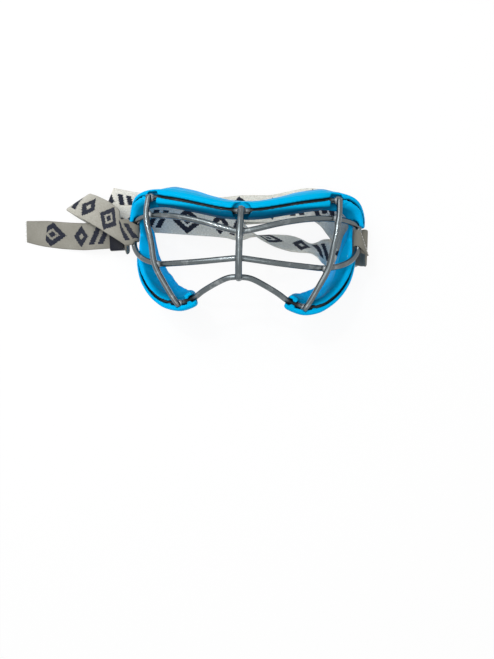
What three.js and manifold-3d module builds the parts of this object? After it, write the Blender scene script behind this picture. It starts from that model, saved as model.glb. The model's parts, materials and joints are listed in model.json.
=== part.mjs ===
import * as THREE from 'three';
import { mergeVertices } from 'three/addons/utils/BufferGeometryUtils.js';
import Module from 'manifold-3d';

// Wire-cage goggles: a welded wire cage held in the channel of a soft moulded
// face frame, with an elastic webbing strap looped round the two ear wires.
// Millimetres. +X runs to the right as seen from the front, +Y up towards the
// brow and +Z out of the face, towards the front of the cage.

// Main sizes of the goggles
const halfWidth = 80;
const halfHeight = 40;
const crownHeight = 60;

// Cage wires
const wireDiameter = 3.8;
const centreBarDiameter = 4.4;
const weldGap = 0.3;
const weldRise = 0.45;
const wireHalfSides = 5;
const earWireHeight = 29;
const earWireReachShare = 0.9525;
const earWireTop = 16.9;
const earWireFoot = 1.5;

// Moulded face frame
const channelClearance = 0.5;
const channelMouth = 2.2;
const channelWall = 2.3;
const lipHeight = 3.9;
const channelFloor = 3;
const padThickness = 4;
const edgeRadius = 1.1;
const gapDepth = 4;
const gapFoot = -4;
const gapTop = 16.3;
const gapSlant = 6;
const cheekRounding = 5;
const noseScoopRadius = 6;
const lipNotchWidth = 14;
const lipNotchThroat = 6.3;
const barNotchWidth = 7.7;
const reliefClearance = 0.48;

// Webbing strap
const webbingWidth = 20;
const webbingThickness = 1.3;
const layerGap = 0.3;
const loopWidth = 12;
const loopLeg = 5.3;
const loopSewnLeg = 5.6;
const loopClearance = 0.4;
const loopLead = 1.2;
const seamGap = 0.42;

// Strap keeper
const keeperLength = 10;
const keeperWall = 1.5;
const keeperRounding = 1.2;
const keeperClearance = 0.3;
const keeperTravel = 11;
const keeperStandOff = 19.3;
const keeperRise = 11.8;
const keeperRun = 3;
const keeperLayers = 3;

// Overrun that every cut shares
const cutOverrun = 3;

const earWireReach = halfWidth * earWireReachShare;
const keeperReach = earWireReach + keeperStandOff;
const gapInnerFace = earWireReach - gapDepth;
const boreRadius = wireDiameter / 2 + channelClearance;
const channelHalfWidth = boreRadius + channelWall;
const layerPitch = webbingThickness + layerGap;
const up = new THREE.Vector3(0, 0, 1);

const wasm = await Module();
wasm.setup();

// Places given as shares of the three main sizes
const place = ([x, y, z]) => new THREE.Vector3(x * halfWidth, y * halfHeight, z * crownHeight);
const mirrored = (point) => new THREE.Vector3(-point.x, point.y, point.z);

// Stations of the face frame from the nose to the cheek end, right half:
// x, y, z of the rim wire, then the tilt of the channel as a share of a
// quarter turn, how far the pad's foot stands out from the rim as a share of
// halfHeight, the foot's height as a share of crownHeight, how wide the mouth
// is as a share of the bore, and the extra width of the outer lip as a share.
const rimShares = [
  [0, 0.512, 0.917, 0, 0.225, 0.55, 0, 0],
  [0.15, 0.53, 0.915, 0, 0.23, 0.54, 0, 0],
  [0.3, 0.59, 0.893, 0, 0.245, 0.5, 0, 0],
  [0.475, 0.668, 0.85, 0, 0.29, 0.42, 0, 0],
  [0.65, 0.735, 0.785, 0, 0.32, 0.31, 0, 0],
  [0.79, 0.77, 0.7, 0.17, 0.26, 0.22, 0, 0],
  [0.882, 0.735, 0.61, 0.42, 0.17, 0.17, 0, 0],
  [0.935, 0.59, 0.515, 0.75, -0.03, 0.13, 0, 0],
  [0.944, 0.28, 0.45, 0.92, -0.17, 0.1, 0, 0],
  [0.888, -0.075, 0.435, 0.85, -0.14, 0.1, 0, -0.2],
  [0.866, -0.345, 0.46, 0.56, -0.21, -0.03, 0, -0.28],
  [0.815, -0.6, 0.515, 0.3, -0.29, 0.05, 0, -0.28],
  [0.71, -0.84, 0.59, 0.12, -0.3, 0.15, 0, -0.25],
  [0.6, -0.94, 0.633, 0.03, -0.28, 0.24, 0, -0.05],
  [0.484, -0.957, 0.672, 0, -0.24, 0.32, 0.5, 0.1],
  [0.406, -0.905, 0.712, 0, -0.18, 0.38, 1, 0.1],
  [0.36, -0.852, 0.74, 0, -0.14, 0.42, 1, 0],
];
const lastRimStation = rimShares.length - 1;
const rimSpan = 2 * lastRimStation;
const rimStepsPerStation = 4;
const flankShare = 0.28;
const openMouthShare = 0.98;
const cheekEndShare = 0.4;

// Nose arch of the lower rim wire, right half, from the middle outwards
const noseArchShares = [
  [0, -0.532, 0.937],
  [0.085, -0.545, 0.927],
  [0.2, -0.645, 0.87],
  [0.31, -0.77, 0.787],
];

// Crossbars, right half, from the middle outwards as far as the ear bend
const upperCrossbarShares = [
  [0, 0.168, 0.997],
  [0.11, 0.21, 0.993],
  [0.31, 0.32, 0.967],
  [0.55, 0.42, 0.887],
  [0.765, 0.462, 0.755],
  [0.846, 0.476, 0.65],
  [0.908, 0.452, 0.562],
];
const lowerCrossbarShares = [
  [0, -0.245, 0.997],
  [0.11, -0.265, 0.99],
  [0.31, -0.305, 0.95],
  [0.55, -0.33, 0.85],
  [0.69, -0.325, 0.745],
  [0.79, -0.275, 0.65],
  [0.87, -0.19, 0.577],
  [0.92, -0.09, 0.525],
];
const earLeadShare = 0.15;
const sideBarTopShare = 0.7775;
const sideBarUpperShare = 0.769;
const sideBarLowerShare = 0.69;
const sideBarFootShare = 0.484;
const sideBarBowShares = [[0.7425, 0.0375, 0.825], [0.62, -0.66, 0.785]];

// How far the ear loops' legs hang below the level, and the turn of the keeper
// in plan, in degrees
const sewnLegSlope = 36;
const legSlope = 20;
const keeperTurn = 5;

// Webbing stations: x and y of its middle, its layer in the pile, its lift as
// a share of crownHeight, then the heading and the tilt of its width in
// degrees, and the share of its full width. First the way out under the
// right temple and along the brow to the left fold.
const wayOutShares = [
  [1.026, 0.2, 0, 0.37, 90, 0, 0.9],
  [1.038, 0.145, 0, 0.26, 90, 0, 1],
  [1.03, 0.11, 0, 0.16, 89, 0, 1],
  [1, 0.1, 2, 0.03, 80, 0, 1],
  [0.955, 0.16, 2, 0, 64, 0, 1],
  [0.885, 0.34, 2, 0, 48, 0, 1],
  [0.8, 0.56, 2, 0, 47, 0, 1],
  [0.71, 0.76, 2, 0, 58, 0, 1],
  [0.585, 0.89, 1.5, 0, 76, 0, 1],
  [0.41, 0.885, 1, 0, 88, 0, 1],
  [0.2, 0.84, 1, 0, 91, 0, 1],
  [-0.05, 0.83, 1, 0, 90, 0, 1],
  [-0.25, 0.785, 1, 0, 89, 0, 1],
  [-0.45, 0.77, 1, 0, 90, 0, 1],
  [-0.725, 0.785, 1, 0, 88, 0, 1],
  [-0.975, 0.83, 1, 0, 84, 0, 1],
  [-1.16, 0.885, 1, 0, 76, 0, 1],
];
const leftFoldShares = [-1.29, 0.935];
const leftFoldHeading = 70;

// The way back along the brow, one layer lower, to the fold on the right
const wayBackShares = [
  [-1.16, 0.885, 0, 0, 76, 0, 1],
  [-0.975, 0.83, 0, 0, 84, 0, 1],
  [-0.725, 0.78, 0, 0, 88, 0, 1],
  [-0.45, 0.76, 0, 0, 90, 0, 1],
  [-0.25, 0.77, 0, 0, 89, 0, 1],
  [-0.05, 0.8, 0, 0, 90, 0, 1],
  [0.2, 0.85, 0, 0, 94, 0, 1],
  [0.36, 0.92, 0, 0, 95, 0, 1],
  [0.54, 0.985, 0.1, 0, 87, 0, 1],
  [0.665, 0.94, 0.6, 0, 74, 0, 1],
  [0.755, 0.8, 1, 0, 60, 0, 1],
  [0.82, 0.6, 1, 0, 50, 0, 1],
  [0.885, 0.4, 1, 0, 50, 0, 1],
  [0.95, 0.22, 1, 0, 62, 0, 1],
];
const rightFoldShares = [1.005, 0.11];
const rightFoldHeading = 76;
const rightFoldDrift = -0.38;

// Through the face frame on its lower edge, flat again after the half twist,
// rolled over at the left and up to the left ear
const wayHomeShares = [
  [0.94, 0.07, 0, 0, 87, 0, 1],
  [0.86, 0.06, 0, 0, 90, 0, 1],
  [0.79, 0.065, 0, 0, 90, 0, 1],
  [0.735, 0.075, 0, 0, 90, -3, 1],
  [0.685, 0.085, 0, 0, 90, -22, 1],
  [0.63, 0.1, 0, 0, 90, -50, 1],
  [0.56, 0.12, 0, 0, 90, -63, 1],
  [0.47, 0.167, 0, 0, 90, -54, 1],
  [0.38, 0.205, 0, 0, 90, -49, 1],
  [0.25, 0.245, 0, 0, 90, -57, 1],
  [0.12, 0.3, 0, 0, 90, -75, 1],
  [0.025, 0.355, 0, 0, 90, -95, 1],
  [-0.035, 0.4, 0, 0, 90, -118, 1],
  [-0.1, 0.465, 0, 0.01, 90, -143, 1],
  [-0.17, 0.525, 0, 0.03, 90, -162, 1],
  [-0.25, 0.55, 0, 0.034, 90, -170, 1],
  [-0.44, 0.57, 0, 0.034, 90, -171, 1],
  [-0.675, 0.593, 0, 0.034, 90, -171, 1],
  [-0.85, 0.607, 0, 0.034, 90, -171, 1],
  [-1.05, 0.6, 0, 0.034, 90, -174, 1],
  [-1.22, 0.605, 0, 0.03, 87, -177, 1],
  [-1.34, 0.645, 0, 0.015, 76, -180, 1],
  [-1.43, 0.72, 0, 0.004, 61, -180, 1],
  [-1.535, 0.83, 0, 0.013, 45, -180, 1],
  [-1.583, 0.89, 0, 0.065, 34, -180, 1],
  [-1.52, 0.83, 0, 0.122, 42, -180, 1],
  [-1.4, 0.72, 0, 0.19, 58, -180, 1],
  [-1.275, 0.59, 0, 0.29, 64, -180, 1],
  [-1.15, 0.43, 0, 0.4, 67, -180, 0.93],
  [-1.08, 0.3, 0, 0.465, 80, -180, 0.75],
];

// Tail of the strap: down from the left ear loop, its reach given as a share
// of the keeper's stand-off from the ear wire, then past the keeper
const tailDropShares = [
  [0.363, 0.23, 0, 0.36, 90, 0, 0.72],
  [0.429, 0.245, 0, 0.25, 91, 0, 0.88],
  [0.479, 0.28, 0, 0.15, 93, 0, 1],
];
const tailEndShares = [
  [-1.52, 0.254, 1.9, 0.006, 92, 0, 1],
  [-1.62, 0.266, 0.7, 0, 90, 0, 1],
  [-1.74, 0.28, 0, 0, 88, 0, 1],
  [-1.9, 0.305, 0, 0, 86, 0, 0.97],
  [-2.085, 0.335, 0, 0, 78, 0, 0.8],
];
const webbingSteps = 3;
const keeperStations = 8;
const foldStations = 4;

// Colours
const frameBlue = new THREE.MeshStandardMaterial({ color: 0x0a94dd, roughness: 0.3, metalness: 0 });
const wireGrey = new THREE.MeshStandardMaterial({ color: 0x767c80, roughness: 0.35, metalness: 0.6 });
const webbingGrey = new THREE.MeshStandardMaterial({ color: 0xb4b3a6, roughness: 0.9, metalness: 0 });
const keeperBlack = new THREE.MeshStandardMaterial({ color: 0x1c2030, roughness: 0.4, metalness: 0 });

function mesh(name, geometry, material) {
  const result = new THREE.Mesh(geometry, material);
  result.name = name;
  return result;
}

// A round wire along a smooth curve through the given points
function wireGeometry(points, diameter, steps) {
  const path = new THREE.CatmullRomCurve3(points);
  const section = new THREE.Shape();
  section.absarc(0, 0, diameter / 2, 0, 2 * Math.PI, false);
  return new THREE.ExtrudeGeometry(section, {
    extrudePath: path,
    steps,
    curveSegments: wireHalfSides,
    bevelEnabled: false,
  });
}

// Closed body from rings of equal length, its two ends capped by fans
function loftGeometry(rings) {
  const positions = [];
  const triangles = [];
  const count = rings[0].length;
  for (const ring of rings) {
    for (const point of ring) {
      positions.push(point.x, point.y, point.z);
    }
  }
  for (let i = 0; i < rings.length - 1; i += 1) {
    for (let j = 0; j < count; j += 1) {
      const a = i * count + j;
      const b = i * count + ((j + 1) % count);
      triangles.push(a, b, b + count, a, b + count, a + count);
    }
  }
  const first = rings[0];
  const last = rings[rings.length - 1];
  const firstFaces = capTriangles(first);
  const lastFaces = capTriangles(last);
  const lastStart = (rings.length - 1) * count;
  for (const [a, b, c] of firstFaces) {
    triangles.push(a, c, b);
  }
  for (const [a, b, c] of lastFaces) {
    triangles.push(lastStart + a, lastStart + b, lastStart + c);
  }
  const geometry = new THREE.BufferGeometry();
  geometry.setAttribute('position', new THREE.Float32BufferAttribute(positions, 3));
  geometry.setIndex(triangles);
  if (signedVolume(geometry) < 0) {
    geometry.setIndex(triangles.reverse());
  }
  return geometry;
}

// Triangles across a flat ring, in the ring's own winding
function capTriangles(ring) {
  const middle = new THREE.Vector3();
  ring.forEach((point) => middle.addScaledVector(point, 1 / ring.length));
  const normal = new THREE.Vector3();
  ring.forEach((point, i) => {
    const next = ring[(i + 1) % ring.length];
    normal.add(point.clone().sub(middle).cross(next.clone().sub(middle)));
  });
  normal.normalize();
  const across = ring[0].clone().sub(middle).projectOnPlane(normal).normalize();
  const along = normal.clone().cross(across);
  const flat = ring.map((point) => {
    const offset = point.clone().sub(middle);
    return new THREE.Vector2(offset.dot(across), offset.dot(along));
  });
  return THREE.ShapeUtils.triangulateShape(flat, []);
}

function signedVolume(geometry) {
  const position = geometry.getAttribute('position');
  const index = geometry.getIndex();
  const corners = [new THREE.Vector3(), new THREE.Vector3(), new THREE.Vector3()];
  let volume = 0;
  for (let i = 0; i < index.count; i += 3) {
    corners.forEach((corner, k) => corner.fromBufferAttribute(position, index.getX(i + k)));
    volume += corners[0].dot(corners[1].clone().cross(corners[2])) / 6;
  }
  return volume;
}

function solidFrom(geometry) {
  const bare = geometry.clone();
  bare.deleteAttribute('normal');
  bare.deleteAttribute('uv');
  const merged = mergeVertices(bare);
  if (signedVolume(merged) < 0) {
    merged.setIndex(Array.from(merged.getIndex().array).reverse());
  }
  return new wasm.Manifold(new wasm.Mesh({
    numProp: 3,
    vertProperties: new Float32Array(merged.getAttribute('position').array),
    triVerts: new Uint32Array(merged.getIndex().array),
  }));
}

function geometryFrom(solid) {
  const result = solid.getMesh();
  const geometry = new THREE.BufferGeometry();
  geometry.setAttribute('position', new THREE.BufferAttribute(new Float32Array(result.vertProperties), 3));
  geometry.setIndex(new THREE.BufferAttribute(new Uint32Array(result.triVerts), 1));
  geometry.computeVertexNormals();
  return geometry;
}

// Rim of the face frame, from the left cheek end over the brow to the right
const rightRim = rimShares.map(place);
const rimPoints = [...rightRim.slice(1).reverse().map(mirrored), ...rightRim];
const rimCurve = new THREE.CatmullRomCurve3(rimPoints);
const rightTraits = rimShares.map((row) => row.slice(3));
const rimTraits = [...rightTraits.slice(1).reverse(), ...rightTraits];

// The traits between two stations, blended by a smooth curve
function traitsAt(share) {
  const position = share * rimSpan;
  const start = Math.min(Math.floor(position), rimSpan - 1);
  const part = position - start;
  const blend = part * part * (3 - 2 * part);
  return rimTraits[start].map((value, k) => THREE.MathUtils.lerp(value, rimTraits[start + 1][k], blend));
}

// Frame of the rim at one place: the outward level direction and the slope
function rimFrame(share) {
  const point = rimCurve.getPoint(share);
  const tangent = rimCurve.getTangent(share);
  const level = Math.hypot(tangent.x, tangent.y);
  const outward = new THREE.Vector3(-tangent.y, tangent.x, 0).normalize();
  return { point, tangent, outward, stretch: 1 / level };
}

// Outline of the channel and its pad at one place along the rim
function rimSection(share) {
  const { point, outward, stretch } = rimFrame(share);
  const [tilt, stand, foot, mouthShare, lipShare] = traitsAt(share);
  const angle = tilt * Math.PI / 2;
  const mouth = THREE.MathUtils.lerp(channelMouth / 2, boreRadius * openMouthShare, mouthShare);
  const outer = channelHalfWidth * (1 + lipShare);
  const inner = channelHalfWidth;
  const throat = Math.sqrt(boreRadius * boreRadius - mouth * mouth);
  const start = Math.atan2(throat, mouth);
  const boreSides = 8;
  const footLevel = foot * crownHeight - point.z;
  const stance = stand * halfHeight;
  const half = padThickness / 2;
  const flank = Math.max(THREE.MathUtils.lerp(outer, stance + half, flankShare), outer);
  const channel = [];
  channel.push([mouth, lipHeight], [outer - edgeRadius, lipHeight], [outer, lipHeight - edgeRadius]);
  channel.push([flank, -boreRadius]);
  const inside = [[-inner, -boreRadius - channelFloor], [-inner, lipHeight - edgeRadius]];
  inside.push([-inner + edgeRadius, lipHeight], [-mouth, lipHeight]);
  for (let i = 0; i <= boreSides; i += 1) {
    const turn = Math.PI - start + (Math.PI + 2 * start) * i / boreSides;
    inside.push([boreRadius * Math.cos(turn), boreRadius * Math.sin(turn)]);
  }
  const turned = ([n, b]) => new THREE.Vector2(
    n * Math.cos(angle) + b * Math.sin(angle),
    (b * Math.cos(angle) - n * Math.sin(angle)) * stretch,
  );
  const pad = [
    new THREE.Vector2(stance + half, footLevel + half),
    new THREE.Vector2(stance + half / 2, footLevel),
    new THREE.Vector2(stance - half / 2, footLevel),
    new THREE.Vector2(stance - half, footLevel + half),
  ];
  const outline = [...channel.map(turned), ...pad, ...inside.map(turned)];
  return outline.map(({ x, y }) => point.clone().addScaledVector(outward, x).addScaledVector(up, y));
}

// A wire that lies on another: where, and which way it is lifted off it
function lapPoint(lower, share, direction, lap) {
  const tangent = lower.getTangent(share);
  const lift = tangent.clone().cross(direction).normalize();
  if (lift.z < 0) {
    lift.negate();
  }
  return lower.getPoint(share).addScaledVector(lift, lap);
}

// Share along a curve at which one coordinate reaches a value, by halving
function shareWhere(curve, axis, value, from, to) {
  let low = from;
  let high = to;
  const rising = curve.getPoint(to)[axis] > curve.getPoint(from)[axis];
  const halvings = 30;
  for (let i = 0; i < halvings; i += 1) {
    const middle = (low + high) / 2;
    if ((curve.getPoint(middle)[axis] < value) === rising) {
      low = middle;
    } else {
      high = middle;
    }
  }
  return (low + high) / 2;
}

// Crossbars: one bent wire each, whose ends meet butt to butt on the ear wires
function crossbarPoints(shares, earEnd, earStart) {
  const right = [
    ...shares.map(place),
    new THREE.Vector3(earWireReach, earStart, earWireHeight),
    new THREE.Vector3(earWireReach, THREE.MathUtils.lerp(earStart, earEnd, earLeadShare), earWireHeight),
    new THREE.Vector3(earWireReach, earEnd, earWireHeight),
  ];
  return [...right.slice(1).reverse().map(mirrored), ...right];
}
const earJoint = (earWireTop + earWireFoot) / 2;
const upperPoints = crossbarPoints(upperCrossbarShares, earJoint + weldGap / 2, earWireTop);
const lowerPoints = crossbarPoints(lowerCrossbarShares, earJoint - weldGap / 2, earWireFoot);
const upperCurve = new THREE.CatmullRomCurve3(upperPoints);
const lowerCurve = new THREE.CatmullRomCurve3(lowerPoints);

// Rim wires: one over the brow, one from cheek to cheek under the nose
const gapShareTop = shareWhere(rimCurve, 'y', gapTop + gapSlant, 0.5, 0.5 + 9 / rimSpan);
const browStations = Math.round(rimSpan * (2 * gapShareTop - 1) * 2);
function rimStretch(from, to, count) {
  const points = [];
  for (let i = 0; i <= count; i += 1) {
    points.push(rimCurve.getPoint(THREE.MathUtils.lerp(from, to, i / count)));
  }
  return points;
}

const browCurve = new THREE.CatmullRomCurve3(rimStretch(1 - gapShareTop, gapShareTop, browStations));
const gapShareFoot = shareWhere(rimCurve, 'y', gapFoot - weldGap, 0.5 + 7 / rimSpan, 0.5 + 11 / rimSpan);
const cheekStations = Math.round(rimSpan * (1 - gapShareFoot) * 2);
const rightNoseWire = [
  ...noseArchShares.map(place),
  ...rimStretch(1, gapShareFoot, cheekStations),
];
const noseCurve = new THREE.CatmullRomCurve3([
  ...rightNoseWire.slice(1).reverse().map(mirrored),
  ...rightNoseWire,
]);

// A wire's end runs on past its last weld by half its own thickness
const beyond = (from, to) => to.clone().sub(from).setLength(wireDiameter / 2).add(to);

// Side bars: each laps the brow wire, both crossbars and the cheek wire
const sideLap = wireDiameter + weldRise;
const barTopShare = shareWhere(rimCurve, 'x', sideBarTopShare * halfWidth, 0.5, 0.5 + 7 / rimSpan);
const barFootShare = shareWhere(rimCurve, 'x', sideBarFootShare * halfWidth, 0.5 + 11 / rimSpan, 1);
const upperBarShare = shareWhere(upperCurve, 'x', sideBarUpperShare * halfWidth, 0.5, 0.8);
const lowerBarShare = shareWhere(lowerCurve, 'x', sideBarLowerShare * halfWidth, 0.5, 0.8);
const barHeading = rimCurve.getPoint(barTopShare).sub(rimCurve.getPoint(barFootShare)).normalize();
const barLaps = [
  lapPoint(rimCurve, barTopShare, barHeading, sideLap),
  lapPoint(upperCurve, upperBarShare, barHeading, sideLap),
  lapPoint(lowerCurve, lowerBarShare, barHeading, sideLap),
  lapPoint(rimCurve, barFootShare, barHeading, sideLap),
];
const barBows = sideBarBowShares.map(place);
const rightBarPoints = [
  beyond(barLaps[1], barLaps[0]),
  barLaps[1],
  barBows[0],
  barLaps[2],
  barBows[1],
  beyond(barBows[1], barLaps[3]),
];

// Centre bar: laps the brow wire, both crossbars and the nose arch
const centreLap = (wireDiameter + centreBarDiameter) / 2 + weldRise;
const centreLaps = [browCurve, upperCurve, lowerCurve, noseCurve].map(
  (curve) => curve.getPoint(0.5).addScaledVector(up, centreLap),
);
const centrePoints = [
  beyond(centreLaps[1], centreLaps[0]),
  centreLaps[1],
  centreLaps[2],
  beyond(centreLaps[2], centreLaps[3]),
];

// Every wire of the cage: its points, its thickness and its steps
const cage = {
  centre_bar: [centrePoints, centreBarDiameter, 16],
  upper_crossbar: [upperPoints, wireDiameter, 64],
  lower_crossbar: [lowerPoints, wireDiameter, 64],
  left_side_bar: [rightBarPoints.map(mirrored), wireDiameter, 22],
  right_side_bar: [rightBarPoints, wireDiameter, 22],
  brow_rim_wire: [browCurve.points, wireDiameter, 64],
  nose_rim_wire: [noseCurve.points, wireDiameter, 84],
};

// Upright prism over a plan outline
function prism(outline, bottom, top) {
  const shape = new THREE.Shape(outline.map(([x, y]) => new THREE.Vector2(x, y)));
  const geometry = new THREE.ExtrudeGeometry(shape, { depth: top - bottom, bevelEnabled: false });
  geometry.translate(0, 0, bottom);
  return solidFrom(geometry);
}

// Block across the rim at one place, from one side of the wire to the other
function rimNotch(share, width, inner, outer) {
  const { point, tangent, outward } = rimFrame(share);
  const along = new THREE.Vector3(tangent.x, tangent.y, 0).normalize();
  const floor = point.z - wireDiameter / 2 - reliefClearance;
  const corner = (a, n) => {
    const spot = point.clone().addScaledVector(along, a).addScaledVector(outward, n);
    return [spot.x, spot.y];
  };
  const outline = [
    corner(-width / 2, inner),
    corner(width / 2, inner),
    corner(width / 2, outer),
    corner(-width / 2, outer),
  ];
  return prism(outline, floor, crownHeight + cutOverrun);
}

// The same wire with both its ends moved on by a clearance
function lengthened(points, by) {
  const count = points.length;
  const further = (from, to) => to.clone().sub(from).setLength(by).add(to);
  return [
    further(points[1], points[0]),
    ...points.slice(1, -1),
    further(points[count - 2], points[count - 1]),
  ];
}

function faceFrameGeometry() {
  const rings = [];
  const count = rimSpan * rimStepsPerStation;
  const length = rimCurve.getLength();
  for (let i = 0; i <= count; i += 1) {
    const share = i / count;
    const ring = rimSection(share);
    const fromEnd = Math.min(share, 1 - share) * length;
    if (fromEnd < cheekRounding) {
      const rest = 1 - fromEnd / cheekRounding;
      const size = Math.max(Math.sqrt(1 - rest * rest), cheekEndShare);
      const middle = new THREE.Vector3();
      ring.forEach((point) => middle.addScaledVector(point, 1 / ring.length));
      ring.forEach((point) => point.lerp(middle, 1 - size));
    }
    rings.push(ring);
  }
  let solid = solidFrom(loftGeometry(rings));
  const crown = rimCurve.getPoint(0.5);
  const wireFloor = crown.z - wireDiameter / 2 - reliefClearance;
  const top = crownHeight + cutOverrun;
  const scoop = new THREE.CylinderGeometry(noseScoopRadius, noseScoopRadius, top - wireFloor, 32);
  scoop.rotateX(Math.PI / 2);
  scoop.translate(crown.x, crown.y, (top + wireFloor) / 2);
  const innerEdge = crown.y - channelHalfWidth;
  const lipNotch = [
    [-lipNotchWidth / 2, crown.y],
    [-lipNotchThroat / 2, innerEdge],
    [-lipNotchThroat / 2, innerEdge - cutOverrun],
    [lipNotchThroat / 2, innerEdge - cutOverrun],
    [lipNotchThroat / 2, innerEdge],
    [lipNotchWidth / 2, crown.y],
  ];
  const reach = halfWidth + padThickness * 2;
  const wide = channelHalfWidth * 2;
  const notchReach = channelHalfWidth - edgeRadius;
  const cuts = [
    solidFrom(scoop),
    prism(lipNotch, wireFloor, top),
    prism([[-reach, -reach], [reach, -reach], [reach, reach], [-reach, reach]], -top, 0),
  ];
  for (const side of [1, -1]) {
    const gap = [
      [side * gapInnerFace, gapFoot],
      [side * reach, gapFoot],
      [side * reach, gapTop],
      [side * earWireReach, gapTop],
      [side * gapInnerFace, gapTop + gapSlant],
    ];
    cuts.push(prism(gap, -cutOverrun, top));
    const barShare = side > 0 ? barTopShare : 1 - barTopShare;
    cuts.push(rimNotch(barShare, barNotchWidth, -wide, notchReach));
    const footShare = side > 0 ? barFootShare : 1 - barFootShare;
    cuts.push(rimNotch(footShare, barNotchWidth, -wide, 0));
  }
  for (const name of ['centre_bar', 'upper_crossbar', 'lower_crossbar', 'left_side_bar', 'right_side_bar']) {
    const [points, diameter, steps] = cage[name];
    const longer = lengthened(points, reliefClearance);
    cuts.push(solidFrom(wireGeometry(longer, diameter + 2 * reliefClearance, steps)));
  }
  const cheekEnd = [...rimStretch(1 - 1 / rimSpan, 1, 2), ...noseArchShares.slice(1).reverse().map(place)];
  for (const points of [cheekEnd, cheekEnd.map(mirrored)]) {
    cuts.push(solidFrom(wireGeometry(points, wireDiameter + 2 * reliefClearance, 16)));
  }
  for (const cut of cuts) {
    solid = solid.subtract(cut);
  }
  return geometryFrom(largestPiece(solid));
}

// The body of most volume among the pieces that the cuts leave
function largestPiece(solid) {
  const pieces = solid.decompose();
  return pieces.reduce((best, piece) => (piece.volume() > best.volume() ? piece : best));
}

// A webbing station from its row of shares
const station = ([x, y, layer, lift, heading, tilt, share]) => ({
  spot: new THREE.Vector3(x * halfWidth, y * halfHeight, lift * crownHeight),
  manner: new THREE.Vector3(heading, tilt, share),
  layer,
});

// A level webbing station at a given middle point
const levelStation = (point, heading, share) => ({
  spot: new THREE.Vector3(point.x, point.y, point.z - webbingThickness / 2),
  manner: new THREE.Vector3(heading, 0, share),
  layer: 0,
});

// Stations round a flat fold: the webbing turns over about its own width
function foldStationsAt([x, y], heading, fromLayer, toLayer, side, drift) {
  const turn = THREE.MathUtils.degToRad(heading);
  const width = new THREE.Vector3(Math.cos(turn), Math.sin(turn), 0);
  const out = new THREE.Vector3(Math.sin(turn), -Math.cos(turn), 0).multiplyScalar(side);
  const radius = Math.abs(fromLayer - toLayer) * layerPitch / 2;
  const stations = [];
  for (let i = 0; i <= foldStations; i += 1) {
    const angle = Math.PI * i / foldStations;
    const spot = new THREE.Vector3(x * halfWidth, y * halfHeight, 0);
    spot.addScaledVector(out, radius * Math.sin(angle));
    spot.addScaledVector(width, drift * radius * (angle - Math.PI / 2));
    stations.push({
      spot,
      manner: new THREE.Vector3(heading, 0, 1),
      layer: (fromLayer + toLayer) / 2 + (fromLayer - toLayer) / 2 * Math.cos(angle),
    });
  }
  return stations;
}

// Smooth course of the webbing through its stations
function webbingCourse(stations) {
  const spots = new THREE.CatmullRomCurve3(stations.map(({ spot }) => spot));
  const manners = new THREE.CatmullRomCurve3(stations.map(({ manner }) => manner));
  const layers = new THREE.CatmullRomCurve3(stations.map(({ layer }) => new THREE.Vector3(layer, 0, 0)));
  const last = stations.length - 1;
  const at = (position) => {
    const share = THREE.MathUtils.clamp(position / last, 0, 1);
    const middle = spots.getPoint(share);
    const manner = manners.getPoint(share);
    const layer = Math.max(layers.getPoint(share).x, 0);
    const heading = THREE.MathUtils.degToRad(manner.x);
    const tilt = THREE.MathUtils.degToRad(manner.y);
    const half = webbingWidth / 2 * manner.z;
    const width = new THREE.Vector3(
      Math.cos(heading) * Math.cos(tilt),
      Math.sin(heading) * Math.cos(tilt),
      Math.sin(tilt),
    );
    const normal = new THREE.Vector3(
      -Math.cos(heading) * Math.sin(tilt),
      -Math.sin(heading) * Math.sin(tilt),
      Math.cos(tilt),
    ).multiplyScalar(Math.cos(tilt) < 0 ? -1 : 1);
    const rise = half * Math.abs(Math.sin(tilt)) + webbingThickness / 2 * Math.abs(Math.cos(tilt));
    middle.z = Math.max(middle.z, 0) + rise;
    middle.addScaledVector(normal, layer * layerPitch);
    return { middle, width, half };
  };
  return { at, last };
}

// Length of one station interval round a position of a course
function stationLength(course, position) {
  const span = 0.1;
  const before = course.at(position - span / 2).middle;
  const after = course.at(position + span / 2).middle;
  return before.distanceTo(after) / span;
}

// Webbing between two positions of its course
function webbingGeometry(course, from, to) {
  const count = Math.round((to - from) * webbingSteps);
  const nudge = 0.02;
  const rings = [];
  for (let i = 0; i <= count; i += 1) {
    const position = THREE.MathUtils.lerp(from, to, i / count);
    const { middle, width, half } = course.at(position);
    const ahead = course.at(Math.min(position + nudge, course.last)).middle;
    const behind = course.at(Math.max(position - nudge, 0)).middle;
    const normal = ahead.sub(behind).normalize().cross(width);
    const reach = half / normal.length();
    normal.setLength(webbingThickness / 2);
    const corner = (across, through) => (
      middle.clone().addScaledVector(width, across * reach).addScaledVector(normal, through)
    );
    const ring = [corner(1, 1), corner(-1, 1), corner(-1, -1), corner(1, -1)];
    const sink = Math.min(...ring.map((point) => point.z), 0);
    ring.forEach((point) => point.addScaledVector(up, -sink));
    rings.push(ring);
  }
  return loftGeometry(rings);
}

// Ear loops: profiles in the plane across the ear wire, the leg along +x
const loopInner = wireDiameter / 2 + loopClearance;
const loopOuter = loopInner + webbingThickness;
const loopCentre = new THREE.Vector3(earWireReach, earJoint, earWireHeight);

function sewnLoopProfile() {
  const reach = Math.hypot(loopSewnLeg, webbingThickness);
  const spread = Math.atan2(webbingThickness, loopSewnLeg) + Math.acos(loopOuter / reach);
  const profile = new THREE.Shape();
  profile.moveTo(loopSewnLeg, -webbingThickness);
  profile.lineTo(loopSewnLeg, webbingThickness);
  profile.absarc(0, 0, loopOuter, spread, 2 * Math.PI - spread, false);
  const hole = new THREE.Path();
  hole.absarc(0, 0, loopInner, 0, 2 * Math.PI, true);
  profile.holes.push(hole);
  return profile;
}

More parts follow.
